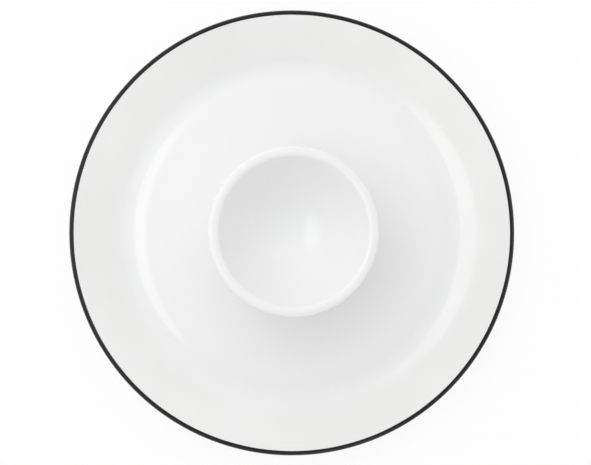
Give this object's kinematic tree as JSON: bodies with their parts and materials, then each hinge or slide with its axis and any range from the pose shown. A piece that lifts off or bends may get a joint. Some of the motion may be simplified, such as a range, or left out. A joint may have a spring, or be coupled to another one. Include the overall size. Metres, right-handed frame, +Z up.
{
  "type": "egg cup with saucer",
  "caption": "White glazed porcelain egg cup fixed in the middle of a round saucer with a flat floor, a shallow hollow ring round it, a sloping rim, a foot ring and a thin black line on its edge.",
  "frame": {"origin": "middle of the saucer's standing face, on the axis of the saucer and the cup", "axes": "+Z up along the axis that every piece is round about; X and Y lie in the standing face and are alike"},
  "size_m": [0.13, 0.13, 0.0343],
  "materials": {
    "white_glaze": "gloss",
    "slip_glaze": "gloss",
    "black_line": "gloss"
  },
  "bodies": {
    "root": {"saucer": "white_glaze", "rim_line": "black_line", "egg_cup": "white_glaze", "luting_slip": "slip_glaze"}
  },
  "joints": []
}
